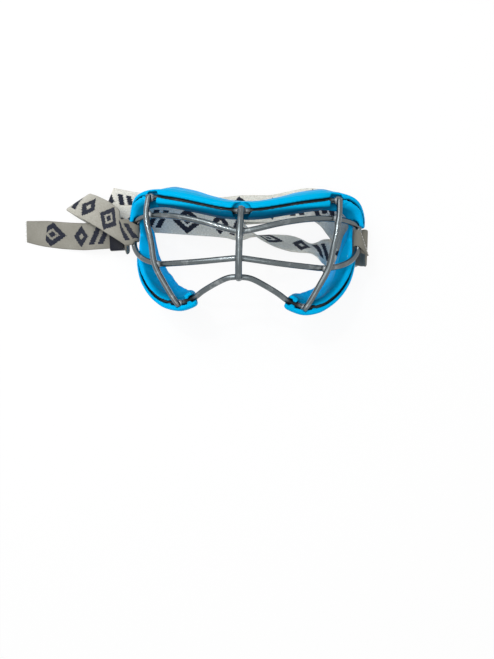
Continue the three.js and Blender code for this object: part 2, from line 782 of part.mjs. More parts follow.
function openLoopProfile() {
  const profile = new THREE.Shape();
  profile.moveTo(loopLeg, loopInner);
  profile.lineTo(loopLeg, loopOuter);
  profile.absarc(0, 0, loopOuter, Math.PI / 2, 3 * Math.PI / 2, false);
  profile.lineTo(loopLeg, -loopOuter);
  profile.lineTo(loopLeg, -loopInner);
  profile.absarc(0, 0, loopInner, 3 * Math.PI / 2, Math.PI / 2, true);
  return profile;
}

// Places a profile across an ear wire, its leg outwards and down by an angle
function loopPlacing(side, slope) {
  const angle = THREE.MathUtils.degToRad(slope);
  const leg = new THREE.Vector3(side * Math.cos(angle), 0, -Math.sin(angle));
  const rise = new THREE.Vector3(side * Math.sin(angle), 0, Math.cos(angle));
  const placing = new THREE.Matrix4().makeBasis(leg, rise, leg.clone().cross(rise));
  placing.setPosition(side * loopCentre.x, loopCentre.y, loopCentre.z);
  return placing;
}

function loopGeometry(profile, placing) {
  const geometry = new THREE.ExtrudeGeometry(profile, {
    depth: loopWidth,
    curveSegments: 16,
    bevelEnabled: false,
  });
  geometry.translate(0, 0, -loopWidth / 2);
  geometry.applyMatrix4(placing);
  return geometry;
}

const sewnPlacing = loopPlacing(1, sewnLegSlope);
const openPlacing = loopPlacing(-1, legSlope);
const loopShare = loopWidth / webbingWidth;
const legMiddle = (loopInner + loopOuter) / 2;

// Two webbing stations that carry straight on from the end of a loop's leg
function legStations(x, y, placing) {
  return [layerGap, layerGap + loopLead].map((further) => {
    const point = new THREE.Vector3(x + further, y, 0).applyMatrix4(placing);
    return levelStation(point, 90, loopShare);
  });
}

// The strap from the right ear loop to the left one
const wayOut = [...legStations(loopSewnLeg, 0, sewnPlacing), ...wayOutShares.map(station)];
const leftFold = foldStationsAt(leftFoldShares, leftFoldHeading, 1, 0, -1, 0);
const wayBack = wayBackShares.map(station);
const rightFold = foldStationsAt(rightFoldShares, rightFoldHeading, 1, 0, 1, rightFoldDrift);
const homeEnd = legStations(loopLeg, legMiddle, openPlacing).reverse();
homeEnd.forEach(({ manner }) => manner.setY(-180));
const wayHome = [...wayHomeShares.map(station), ...homeEnd];
const strapCourse = webbingCourse([...wayOut, ...leftFold, ...wayBack, ...rightFold, ...wayHome]);
const dropStations = 7.5;
const leftRunStations = 9;
const leftRunStart = strapCourse.last - leftRunStations;
const dropMargin = seamGap / 2 / stationLength(strapCourse, dropStations);
const leftRunMargin = seamGap / 2 / stationLength(strapCourse, leftRunStart);

// The keeper lies round the tail, clear of the run of strap beneath it
const keeperAngle = THREE.MathUtils.degToRad(keeperTurn);
const keeperAxis = new THREE.Vector3(Math.cos(keeperAngle), Math.sin(keeperAngle), 0);
const keeperFloor = keeperLayers * layerPitch;
const keeperSlot = webbingThickness + 2 * keeperClearance;
const keeperSlotWidth = webbingWidth + 2 * keeperClearance;
const keeperCentre = new THREE.Vector3(
  -keeperReach,
  keeperRise,
  keeperFloor + keeperWall + keeperSlot / 2,
);

function keeperGeometry() {
  const halfSpan = keeperSlotWidth / 2 + keeperWall;
  const halfDeep = keeperSlot / 2 + keeperWall;
  const round = keeperRounding;
  const profile = new THREE.Shape();
  profile.absarc(halfSpan - round, halfDeep - round, round, 0, Math.PI / 2, false);
  profile.absarc(round - halfSpan, halfDeep - round, round, Math.PI / 2, Math.PI, false);
  profile.absarc(round - halfSpan, round - halfDeep, round, Math.PI, 3 * Math.PI / 2, false);
  profile.absarc(halfSpan - round, round - halfDeep, round, 3 * Math.PI / 2, 2 * Math.PI, false);
  const slot = new THREE.Path();
  slot.moveTo(-keeperSlotWidth / 2, -keeperSlot / 2);
  slot.lineTo(-keeperSlotWidth / 2, keeperSlot / 2);
  slot.lineTo(keeperSlotWidth / 2, keeperSlot / 2);
  slot.lineTo(keeperSlotWidth / 2, -keeperSlot / 2);
  profile.holes.push(slot);
  const geometry = new THREE.ExtrudeGeometry(profile, {
    depth: keeperLength,
    curveSegments: 4,
    bevelEnabled: false,
  });
  geometry.translate(0, 0, -keeperLength / 2);
  const across = up.clone().cross(keeperAxis);
  const placing = new THREE.Matrix4().makeBasis(across, up, keeperAxis);
  placing.setPosition(keeperCentre);
  geometry.applyMatrix4(placing);
  return geometry;
}

// The tail: straight past the keeper for as far as the keeper slides
const keeperStart = keeperLength / 2 + keeperRun;
const keeperEnd = -keeperLength / 2 - keeperTravel - keeperRun;
const keeperPass = [];
for (let i = 0; i <= keeperStations; i += 1) {
  const along = THREE.MathUtils.lerp(keeperStart, keeperEnd, i / keeperStations);
  const point = keeperCentre.clone().addScaledVector(keeperAxis, along);
  keeperPass.push(levelStation(point, 90 + keeperTurn, 1));
}
const tailDrop = tailDropShares.map(([reach, ...rest]) => {
  const { spot, manner, layer } = station([0, ...rest]);
  return { spot: spot.setX(-earWireReach - reach * keeperStandOff), manner, layer };
});
const tailCourse = webbingCourse([
  ...legStations(loopLeg, -legMiddle, openPlacing),
  ...tailDrop,
  ...keeperPass,
  ...tailEndShares.map(station),
]);

const tailDropStations = 5;
const tailMargin = seamGap / 2 / stationLength(tailCourse, tailDropStations);

const group = new THREE.Group();
group.add(mesh('face_frame', faceFrameGeometry(), frameBlue));
for (const [name, [points, diameter, steps]] of Object.entries(cage)) {
  group.add(mesh(name, wireGeometry(points, diameter, steps), wireGrey.clone()));
}
const webbing = [
  ['strap_right_loop', loopGeometry(sewnLoopProfile(), sewnPlacing)],
  ['strap_right_drop', webbingGeometry(strapCourse, 0, dropStations - dropMargin)],
  ['strap_back_runs', webbingGeometry(strapCourse, dropStations + dropMargin, leftRunStart - leftRunMargin)],
  ['strap_left_run', webbingGeometry(strapCourse, leftRunStart + leftRunMargin, strapCourse.last)],
  ['strap_left_loop', loopGeometry(openLoopProfile(), openPlacing)],
  ['strap_tail_drop', webbingGeometry(tailCourse, 0, tailDropStations - tailMargin)],
  ['strap_tail', webbingGeometry(tailCourse, tailDropStations + tailMargin, tailCourse.last)],
];
for (const [name, geometry] of webbing) {
  group.add(mesh(name, geometry, webbingGrey.clone()));
}
group.add(mesh('strap_keeper', keeperGeometry(), keeperBlack));

// The origin lies under the middle of the goggles and their folded strap
const extent = new THREE.Box3().setFromObject(group);
const middle = extent.getCenter(new THREE.Vector3());
group.position.set(-middle.x, -middle.y, -extent.min.z);

export default group;
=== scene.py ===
"""Wire-cage goggles: pieces, finishes, light and camera over the packed model."""

import json
import math

import bmesh
import bpy
from bpy.props import FloatProperty, FloatVectorProperty, IntProperty, PointerProperty
from mathutils import Matrix, Vector, noise
from mathutils.bvhtree import BVHTree
from mathutils.kdtree import KDTree


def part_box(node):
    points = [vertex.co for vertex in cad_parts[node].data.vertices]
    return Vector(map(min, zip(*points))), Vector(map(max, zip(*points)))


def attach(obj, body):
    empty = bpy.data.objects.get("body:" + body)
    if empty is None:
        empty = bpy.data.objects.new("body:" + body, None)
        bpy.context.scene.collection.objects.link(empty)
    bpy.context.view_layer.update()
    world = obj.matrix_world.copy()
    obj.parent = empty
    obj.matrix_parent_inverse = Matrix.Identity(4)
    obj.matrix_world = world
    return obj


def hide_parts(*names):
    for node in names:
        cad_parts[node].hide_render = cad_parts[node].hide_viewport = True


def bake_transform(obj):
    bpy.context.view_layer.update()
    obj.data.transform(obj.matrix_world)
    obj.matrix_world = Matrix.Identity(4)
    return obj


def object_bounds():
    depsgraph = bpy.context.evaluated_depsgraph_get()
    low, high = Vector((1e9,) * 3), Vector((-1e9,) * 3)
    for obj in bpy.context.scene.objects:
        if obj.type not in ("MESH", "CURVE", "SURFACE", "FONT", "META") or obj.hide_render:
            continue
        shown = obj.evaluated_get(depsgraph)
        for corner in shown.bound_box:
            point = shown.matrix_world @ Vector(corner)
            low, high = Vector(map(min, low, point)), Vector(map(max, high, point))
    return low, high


bl_info = {
    "name": "Wire Cage Goggles",
    "version": (1, 0, 0),
    "blender": (4, 5, 0),
    "location": "3D View > Sidebar > Goggles",
    "description": "Builds the moulding, cage, strap and keeper of wire-cage goggles",
    "category": "Add Mesh",
}

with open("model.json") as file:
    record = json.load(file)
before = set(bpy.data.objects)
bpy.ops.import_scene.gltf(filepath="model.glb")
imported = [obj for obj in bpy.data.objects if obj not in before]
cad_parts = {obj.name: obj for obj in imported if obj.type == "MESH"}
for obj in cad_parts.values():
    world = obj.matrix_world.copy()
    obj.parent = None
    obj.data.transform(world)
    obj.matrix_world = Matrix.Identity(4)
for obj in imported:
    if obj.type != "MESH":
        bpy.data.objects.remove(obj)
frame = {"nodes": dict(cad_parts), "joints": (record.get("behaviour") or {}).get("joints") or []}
cad_low, cad_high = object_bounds()

MM = 0.001
MERGE_DISTANCE = 0.002 * MM

# The photograph's camera: where it stands, how it is turned, and its lens
CAMERA_PLACE = Vector((0.07658, -0.05700, 0.40651))
CAMERA_YAW = math.radians(4.652)
CAMERA_ROLL = math.radians(2.064)
CAMERA_FOCAL_PIXELS = 560
PHOTO_HEIGHT_PIXELS = 659
SENSOR_LONG_SIDE_MM = 36

CAGE_NODES = (
    "centre_bar", "upper_crossbar", "lower_crossbar", "left_side_bar",
    "right_side_bar", "brow_rim_wire", "nose_rim_wire",
)
UPRIGHT_BARS = ("left_side_bar", "right_side_bar", "centre_bar")
CROSSED_WIRES = ("brow_rim_wire", "upper_crossbar", "lower_crossbar", "nose_rim_wire")
HELD_WIRES = ("brow_rim_wire", "nose_rim_wire")

# The channel that holds the rim wires, measured from the wire's middle
WIRE_RADIUS = 1.9 * MM
BORE_RADIUS = 2.4 * MM
LIP_HEIGHT = 3.9 * MM
LIP_REACH = 4.2 * MM
WALL_REACH = 7 * MM

# Where the moulding's walls begin to be smoothed more than its lips
WALL_EASING_START = 8 * MM
WALL_EASING_FADE = 5 * MM
WALL_EASING = 9

# Where the moulding's painted shade starts on its eye side, and where its painted light starts towards
# the floor
EYE_SIDE_SHADE_START = 0.7 * MM
EYE_SIDE_SHADE_FADE = 0.9 * MM
SHADE_TOP = 52 * MM
SHADE_PER_METRE = 28

# How far right of their CAD places the photograph shows the side bars' crossings with CROSSED_WIRES,
# in millimetres, and how far round a crossing that is felt
CROSSING_SHIFTS = {
    "left_side_bar": (2.2, 0.5, 1.2, -1.7),
    "right_side_bar": (-2.9, -2.7, -1.9, 2.7),
}
SHIFT_REACH = 12 * MM

# Webbing nodes in the order in which the strap runs, with the body of each end
STRAP_COURSE = (
    ("strap_right_loop", "right_loop", "right_loop"),
    ("strap_right_drop", "right_loop", "goggles"),
    ("strap_back_runs", "goggles", "goggles"),
    ("strap_left_run", "goggles", "left_loop"),
    ("strap_left_loop", "left_loop", "left_loop"),
    ("strap_tail_drop", "left_loop", "goggles"),
    ("strap_tail", "goggles", "goggles"),
)

# The strap by the right ear wire: half widths, and how its drop's first stations fan out and fall (mm)
CUT_ACROSS = Vector((-3.1, 7.6, 2.0)) * MM
RIGHT_WAIST = 5.4 * MM
DROP_HALF_WIDTH = 8.3 * MM
DROP_FAN = 6
DROP_FALLS = (1.6, 1.8, 2.1, 2.5, 3, 3.4, 3.6, 3.6, 3.3, 2.8, 2.2, 1.6, 1.1, 0.6, 0.3)
CUT_LEG_SHARE = 0.42
CUT_LIFT = -3.6 * MM

# The strap by the left ear wire: the stations from which its run gathers and rises, and its tail
GATHER_FROM = 17
RISE_FROM = 19
RISE_STATIONS = 8
RUN_RISE = 0.6 * MM
RUN_END_ACROSS = Vector((-1.8, 9, 0)) * MM
LEFT_WAIST = 5.6 * MM
TAIL_WIDE_FROM = 0.55
TAIL_HOLLOW = Vector((-1.2, -3.0, 0)) * MM
TAIL_SLANT = 2.2 * MM

# Shares of an ear loop's stations over which it narrows, loses its lift and widens again
WAIST_FROM, WAIST_OVER = 0.05, 0.33
LIFT_OVER = 0.42
WIDEN_FROM, WIDEN_OVER = 0.7, 0.3

# How far from its ends the strap is darkened by painted shade, and how far it is plain
SHADED_START, SHADED_START_FADE = 75 * MM, 30 * MM
SHADED_END, SHADED_END_FADE, SHADED_END_SHARE = 235 * MM, 120 * MM, 0.88
PLAIN_REPEATS = 1.13
PLAIN_END = 15 * MM
MOTIF_PHASE = 0.13

# The least share of its flat size that a folded strip covers
LEAST_AREA_SHARE = 0.31

# Each lamp's power setting, its size, and its place from the goggles' middle, in metres
LAMPS = {
    "key_light": ("key_power", 0.45, (-0.26, 0.36, 0.6)),
    "fill_light": ("fill_power", 0.55, (-0.05, -0.12, 0.9)),
    "spark_light": ("spark_power", 0.05, (-0.15, 0.3, 0.75)),
}
FLOOR_HALF_SIZE = 3
FLOOR_GAP = 0.2 * MM


def linear(code):
    """The linear colour of a six-digit screen colour."""
    shares = [int(code[i:i + 2], 16) / 255 for i in (0, 2, 4)]
    return [s / 12.92 if s <= 0.04045 else ((s + 0.055) / 1.055) ** 2.4 for s in shares]


def colour_setting(name, thing, code):
    """The colour of a thing."""
    return FloatVectorProperty(
        name=name, description=f"Colour of the {thing}", default=linear(code), min=0, max=1,
        subtype="COLOR", size=3,
    )


def length_setting(name, description, usual, least, most):
    """A length, given here in millimetres."""
    return FloatProperty(
        name=name, description=description, default=usual * MM, min=least * MM, max=most * MM,
        subtype="DISTANCE", unit="LENGTH",
    )


def power_setting(name, lamp, usual):
    """The power of a lamp."""
    return FloatProperty(
        name=name, description=f"Power of the {lamp}", default=usual, min=0, subtype="POWER",
    )


class MouldingSettings(bpy.types.PropertyGroup):
    """Colour and softness of the moulded face frame."""

    colour: colour_setting("Colour", "moulded face frame", "00A9DC")
    # The lower parts' colour is painted light, brighter and bluer than the moulding's own
    lower_painted_light: colour_setting("Shade", "painted light on the moulding's lower parts", "02B4FC")
    groove: length_setting("Groove", "Half the slit between the moulding's lips", 0.9, 0.2, 2)
    grain: length_setting("Grain", "Length of one voxel of the softened moulding", 0.6, 0.3, 2)
    easing: IntProperty(
        name="Easing", description="Times the moulding's edges are smoothed",
        default=3, min=0, max=20,
    )


class CageSettings(bpy.types.PropertyGroup):
    """Colour of the wires and size of their welds."""

    colour: colour_setting("Colour", "coated wires", "596164")
    worn: colour_setting("Worn colour", "coating where it is rubbed", "9DA2A4")
    bead_radius: length_setting("Bead radius", "Half the width of a weld bead", 2.7, 1, 5)
    bead_depth: length_setting("Bead depth", "Half the depth of a bead between two wires", 1.9, 0.4, 3)


class WebbingSettings(bpy.types.PropertyGroup):
    """Colours and woven motif of the strap."""

    ground: colour_setting("Ground", "webbing's ground", "F0EEE4")
    fleck: colour_setting("Fleck", "ground's darker threads", "BBB9AE")
    shade_and_fade: colour_setting("Shade and fade", "painted shade on the strap's ends and of its faded motif", "7A786F")
    # The ends' colour is painted shade; the faded motif takes it too
    motif: colour_setting("Motif", "woven motif", "1B2030")
    repeat: length_setting("Repeat", "Length after which the motif repeats", 62, 10, 200)
    thread: length_setting("Thread", "Width of one thread of the webbing", 0.55, 0.2, 2)


class TrimSettings(bpy.types.PropertyGroup):
    """Keeper and stitching."""

    keeper_colour: colour_setting("Keeper", "moulded strap keeper", "12151F")
    stitch_colour: colour_setting("Stitching", "sewing thread", "E9EAE8")
    stitches: IntProperty(
        name="Stitches", description="Stitches across the sewn end of the strap",
        default=16, min=4, max=40,
    )
    stitch_radius: length_setting("Thread radius", "Half the thickness of the thread", 0.28, 0.1, 1)


class StageSettings(bpy.types.PropertyGroup):
    """Floor and light."""

    floor_colour: colour_setting("Floor", "floor", "F4F4F4")
    shadow_share: FloatProperty(
        name="Shadow", description="Share of the floor's own shading that is seen",
        default=0.1, min=0, max=1, subtype="FACTOR",
    )
    key_power: power_setting("Key light", "large key light", 2.1)
    fill_power: power_setting("Fill light", "fill light", 1.7)
    spark_power: power_setting("Spark light", "small, sharp light", 1.0)
    sky_strength: FloatProperty(
        name="Sky", description="Strength of the even light from all round",
        default=0.62, min=0, max=4,
    )


def math_node(operation):
    """A method that adds a Math node of one operation."""
    return lambda self, *others: self.maths(operation, self, *others)


class Shade:
    """One output of a finish's nodes, with arithmetic that adds Math nodes."""

    def __init__(self, finish, socket):
        self.finish = finish
        self.socket = socket

    def maths(self, operation, *values, clamped=False):
        """A Math node of the given operation on values."""
        settings = {"operation": operation, "use_clamp": clamped}
        return self.finish.node("ShaderNodeMath", settings, dict(enumerate(values)))

    def __rsub__(self, other):
        return self.maths("SUBTRACT", other, self)

    def held(self):
        """This value kept between zero and one."""
        return self.maths("ADD", self, 0, clamped=True)

    __add__ = __radd__ = math_node("ADD")
    __sub__ = math_node("SUBTRACT")
    __mul__ = __rmul__ = math_node("MULTIPLY")
    __truediv__ = math_node("DIVIDE")
    __gt__ = math_node("GREATER_THAN")
    __lt__ = math_node("LESS_THAN")
    __abs__ = math_node("ABSOLUTE")
    floor = math_node("FLOOR")
    fraction = math_node("FRACT")
    sine = math_node("SINE")
    most = math_node("MAXIMUM")


class Finish:
    """The nodes of a procedural material, or of the world."""

    def __init__(self, owner, shader="Principled BSDF"):
        self.owner = owner
        owner.use_nodes = True
        self.tree = owner.node_tree
        self.shader = self.tree.nodes[shader]

    def feed(self, socket, value):
        """Links a socket to an output, or sets it to a constant."""
        if isinstance(value, Shade):
            self.tree.links.new(value.socket, socket)
        else:
            socket.default_value = value

    def node(self, kind, settings=None, sockets=None, output=0):
        """A node with its settings made first, then its sockets' values or links."""
        node = self.tree.nodes.new(kind)
        for name, value in (settings or {}).items():
            setattr(node, name, value)
        for name, value in (sockets or {}).items():
            self.feed(node.inputs[name], value)
        return Shade(self, node.outputs[output])

    def mix(self, share, first, second):
        """A colour between two others."""
        first, second = (c if isinstance(c, Shade) else (*c, 1) for c in (first, second))
        settings = {"data_type": "RGBA", "clamp_factor": True}
        return self.node("ShaderNodeMix", settings, {0: share, 6: first, 7: second}, output=2)

    def speckle(self, scale, detail=2, roughness=0.5, place=None):
        """Noise round a half, at the place on the object if no other is given."""
        place = place or self.place()
        sockets = {"Vector": place, "Scale": scale, "Detail": detail, "Roughness": roughness}
        return self.node("ShaderNodeTexNoise", None, sockets)

    def place(self):
        """The place on the object, in metres."""
        return self.node("ShaderNodeTexCoord", output=3)

    def mark(self, name):
        """A value that the mesh holds at its points."""
        return self.node("ShaderNodeAttribute", {"attribute_name": name}, output=2)

    def part(self, vector, axis):
        """One of a vector's three parts."""
        return self.node("ShaderNodeSeparateXYZ", None, {0: vector}, output=axis)

    def seen(self, *kinds):
        """One for the kinds of rays in which the background shows, and nought for the others."""
        first, *others = [self.node("ShaderNodeLightPath", output=f"Is {kind} Ray") for kind in kinds]
        for other in others:
            first = first.most(other)
        return first

    def bump(self, height, distance, strength):
        """A surface direction from a height that is one at its tops."""
        sockets = {"Strength": strength, "Distance": distance, "Height": height}
        return self.node("ShaderNodeBump", None, sockets)

    def shine(self, **sockets):
        """Sets or links the shader's sockets, and gives the material or world."""
        for name, value in sockets.items():
            self.feed(self.shader.inputs[name.replace("_", " ")], value)
        return self.owner


def new_finish(name):
    """A finish for a new material."""
    return Finish(bpy.data.materials.new(name))


def moulding_finish(settings):
    """Soft blue moulding with painted light and shade: brighter and bluer low down, painted shade on
    its eye side and in its groove.
    """
    finish = new_finish("glossy_blue_moulding")
    cloud = finish.speckle(scale=34, detail=3)
    bead = finish.speckle(scale=900, detail=1)
    height = finish.part(finish.place(), 2)
    # Painted light: lower down the moulding turns a brighter, bluer colour that stands in for the light
    # it lacks
    low = ((SHADE_TOP - height) * SHADE_PER_METRE + (cloud - 0.5) * 0.5).held()
    groove = finish.mark("groove")
    colour = finish.mix(low, settings.colour, settings.lower_painted_light)
    # Painted shade: the eye side of the upper parts is darkened to a deep teal
    colour = finish.mix(finish.mark("eye_side") * 0.95 * (1 - low), colour, linear("00486A"))
    # Painted shade: the inside of the groove is darkened nearly to black
    colour = finish.mix(groove, colour, linear("04161C"))
    return finish.shine(
        Base_Color=colour, Roughness=0.3 + (cloud - 0.5) * 0.1 + low * 0.04 + groove * 0.5,
        Normal=finish.bump(bead * 0.4 + cloud, 0.06 * MM, 0.5),
        IOR=1.02, Coat_Weight=0.02, Coat_Roughness=0.08,
    )


def wire_finish(settings):
    """Pewter-grey coating with a fine orange peel and rubbed places, with painted shade darkening it in
    the moulding's groove, where it is also rougher with less coat.
    """
    finish = new_finish("pewter_coated_wire")
    peel = finish.speckle(scale=1400)
    cloud = finish.speckle(scale=160, detail=4, roughness=0.6)
    rubbed = ((cloud - 0.53) * 5).held()
    held = finish.mark("held")
    colour = finish.mix((rubbed * 0.7 + (peel - 0.5) * 0.3).held(), settings.colour, settings.worn)
    # Painted shade: a rim wire is darkened nearly to black where it lies in the moulding's groove
    colour = finish.mix(held * 0.8, colour, linear("14191B"))
    return finish.shine(
        Base_Color=colour, Metallic=0.95,
        Roughness=0.24 + (cloud - 0.5) * 0.12 - rubbed * 0.06 + held * 0.4,
        Normal=finish.bump(cloud, 0.05 * MM, 0.3),
        Coat_Weight=0.5 - held * 0.45, Coat_Roughness=0.1, Coat_IOR=1.6,
    )


def bead_finish(settings):
    """Weld metal under the coating, duller than the wire."""
    finish = new_finish("coated_weld_bead")
    lump = finish.speckle(scale=520, detail=3)
    return finish.shine(
        Base_Color=finish.mix(lump, settings.colour, settings.worn), Metallic=0.8,
        Roughness=0.3 + lump * 0.25, Normal=finish.bump(lump, 0.2 * MM, 0.7),
    )


def woven_motif(finish, across, along, thread_share):
    """Where the dark motif shows: hollow diamonds between slanted bars, stepped thread by thread."""
    stepped_across = (across / thread_share).floor() * thread_share + thread_share / 2
    jog = finish.node(
        "ShaderNodeTexWhiteNoise", {"noise_dimensions": "1D"}, {"W": stepped_across * 57.3},
    )
    part = (along + (jog - 0.5) * 0.018).fraction()
    rise = abs(stepped_across - 0.5)

    def diamond(middle, half_length, half_height):
        return abs(part - middle) / half_length + rise / half_height

    large = diamond(0.2, 0.18, 0.46)
    ring = (large < 1.0) * (large > 0.5)
    core = diamond(0.2, 0.05, 0.13) < 1.0
    bar_half_width = 0.034
    slant = part - 0.5 - (stepped_across - 0.5) * 0.16
    bars = (abs(slant) < bar_half_width).most(abs(slant - 0.11) < bar_half_width) * (rise < 0.32)
    small = diamond(0.81, 0.11, 0.4) < 1.0
    hole = diamond(0.81, 0.035, 0.12) < 1.0
    return ring.most(core).most(bars).most(small * (1 - hole))


def webbing_finish(settings, width, whole):
    """Woven elastic webbing: crossing threads, some darker, a dark motif, and painted shade on its ends
    and in part on its reverse face.
    """
    finish = new_finish("woven_webbing")
    strip = finish.node("ShaderNodeUVMap", {"uv_map": "webbing"})
    side = finish.part(strip, 0)
    length = finish.part(strip, 1)
    across = side.fraction()
    motif = woven_motif(finish, across, length / settings.repeat - MOTIF_PHASE, settings.thread / width)
    motif = motif * (length > settings.repeat * PLAIN_REPEATS) * (length < whole - PLAIN_END)
    # Painted shade: the strap is darkened near its sewn end by the right ear wire and over its last
    # stretch into the tail
    start_shade = ((SHADED_START - length) / SHADED_START_FADE).held()
    end_shade = ((length - whole + SHADED_END) / SHADED_END_FADE).held() * SHADED_END_SHARE
    warp = (across * (math.pi * width / settings.thread)).sine()
    weft = (length * (math.tau / (settings.thread * 2.4))).sine()
    weave = (warp * weft + 1) * 0.5
    thread_place = finish.node(
        "ShaderNodeCombineXYZ", None, {0: across * 20, 1: length * 420, 2: side.floor() * 9},
    )
    fleck = finish.speckle(scale=1.6, detail=3, roughness=0.7, place=thread_place)
    cloud = finish.speckle(scale=60, detail=3)
    fuzz = finish.speckle(scale=1700, detail=1)
    ground = finish.mix((weave * 0.3 + (fleck - 0.42) * 2.4).held(), settings.ground, settings.fleck)
    selvedge = ((abs(across - 0.5) - 0.47) * 30).held()
    reverse = side > 1.0
    # Random tone and the darker selvedge are the webbing's own colour; the darker reverse face is
    # partly its own darker back and partly painted shade for the hollows of its rolls; the darker ends
    # are painted shade
    tone_and_shade = selvedge * 0.25 + (cloud - 0.5) * 0.3 + reverse * 0.12 + (start_shade + end_shade)
    ground = finish.mix(tone_and_shade.held(), ground, settings.shade_and_fade)
    faded = ((fuzz - 0.4) * 0.4 + (fleck - 0.5) * 0.3).held()
    dark = finish.mix(faded, settings.motif, settings.shade_and_fade)
    return finish.shine(
        Base_Color=finish.mix(motif, ground, dark), Roughness=0.86 + fuzz * 0.1,
        Normal=finish.bump(weave * 0.7 + fuzz * 0.3 - motif * 0.15, 0.16 * MM, 0.8),
        IOR=1.3, Sheen_Weight=0.08, Sheen_Roughness=0.5,
    )


def keeper_finish(settings):
    """Near-black moulded plastic with faint rubbing."""
    finish = new_finish("black_keeper")
    cloud = finish.speckle(scale=300, detail=3)
    grain = finish.speckle(scale=1500)
    colour = finish.mix((cloud - 0.45).held() * 0.4, settings.keeper_colour, linear("3A3F4C"))
    return finish.shine(
        Base_Color=colour, Roughness=0.34 + (cloud - 0.5) * 0.2,
        Normal=finish.bump(grain, 0.05 * MM, 0.5), IOR=1.25,
    )


def thread_finish(settings):
    """Pale twisted sewing thread."""
    finish = new_finish("sewing_thread")
    twist = finish.speckle(scale=1600, detail=1)
    colour = finish.mix(twist * 0.4, settings.stitch_colour, linear("B9BAB6"))
    return finish.shine(Base_Color=colour, Roughness=0.7, Normal=finish.bump(twist, 0.1 * MM, 0.6))


def floor_finish(settings):
    """Pale floor that is seen as white, with a soft shadow under the object."""
    finish = new_finish("pale_floor")
    cloud = finish.speckle(scale=12)
    pale = tuple(settings.floor_colour)
    tint = finish.mix(cloud * 0.05, pale, [s * 0.97 for s in pale])
    material = finish.shine(Base_Color=tint, Roughness=0.9)
    shaded = Shade(finish, finish.shader.outputs[0])
    white = finish.node("ShaderNodeEmission", None, {"Color": (1, 1, 1, 1), "Strength": 1.0})
    share = finish.seen("Camera", "Glossy", "Transmission") * (1 - settings.shadow_share)
    mixed = finish.node("ShaderNodeMixShader", None, {0: share, 1: shaded, 2: white})
    finish.feed(finish.tree.nodes["Material Output"].inputs["Surface"], mixed)
    return material


def even_sky(settings):
    """Even light, softer at the horizon than overhead, that the camera and gloss see as white."""
    sky = Finish(bpy.data.worlds.new("even_sky"), "Background")
    way = sky.node("ShaderNodeTexCoord", output=0)
    light = (sky.part(way, 2).held() * 0.7 + 0.55) * settings.sky_strength
    seen = sky.seen("Camera", "Glossy", "Transmission")
    return sky.shine(Color=(1, 1, 1, 1), Strength=light * (1 - seen) + seen)


def merged_copy(node):
    """The shape of a CAD node, its loose triangles joined at their corners."""
    shape = bmesh.new()
    shape.from_mesh(frame["nodes"][node].data)
    bmesh.ops.remove_doubles(shape, verts=shape.verts, dist=MERGE_DISTANCE)
    return shape


def new_piece(name, shape, material):
    """A smooth object at the origin made of a finished shape."""
    for face in shape.faces:
        face.smooth = True
    mesh = bpy.data.meshes.new(name)
    shape.to_mesh(mesh)
    shape.free()
    mesh.materials.append(material)
    piece = bpy.data.objects.new(name, mesh)
    bpy.context.scene.collection.objects.link(piece)
    return piece


def apply_modifiers(piece):
    """Makes what the piece's modifiers give its own mesh."""
    graph = bpy.context.evaluated_depsgraph_get()
    finished = bpy.data.meshes.new_from_object(piece.evaluated_get(graph), depsgraph=graph)
    piece.modifiers.clear()
    piece.data = finished


def wire_with_middles(node):
    """The shape of a wire, and the wire's middle under each of its corners."""
    wire = merged_copy(node)
    wire.normal_update()
    return wire, {v: v.co - v.normal * WIRE_RADIUS for v in wire.verts}


def wire_middles(node):
    """Close places along the middle of a wire, found on its shorter edges."""
    wire, middles = wire_with_middles(node)
    pairs = [[middles[v] for v in edge.verts] for edge in wire.edges]
    wire.free()
    return [a.lerp(b, i / 8) for a, b in pairs for i in range(8) if (a - b).length < 12 * MM]


def finder_of(places):
    """A search tree over places."""
    finder = KDTree(len(places))
    for i, place in enumerate(places):
        finder.insert(place, i)
    finder.balance()
    return finder


def nearest_middles(bar, wire):
    """Where the middles of two wires pass each other closest."""
    finder = finder_of(wire_middles(wire))
    found = [(finder.find(spot), spot) for spot in wire_middles(bar)]
    (on_wire, _, _), on_bar = min(found, key=lambda pair: pair[0][2])
    return on_bar, Vector(on_wire)


def crossing_shifts():
    """The side bars' crossings, each with the way that it moves to where the photograph shows it."""
    return [
        (sum(nearest_middles(bar, wire), Vector()) / 2, shift * MM)
        for bar, shifts in CROSSING_SHIFTS.items()
        for wire, shift in zip(CROSSED_WIRES, shifts)
    ]


def shift_crossings(vertices, crossings):
    """Moves what lies near the side bars' crossings sideways, all pieces alike."""
    for vertex in vertices:
        distances = [(vertex.co - place).length for place, _ in crossings]
        shares = [math.exp(-(distance / SHIFT_REACH) ** 2) for distance in distances]
        moves = sum(share * shift for share, (_, shift) in zip(shares, crossings))
        vertex.co.x += moves / max(sum(shares), 1)


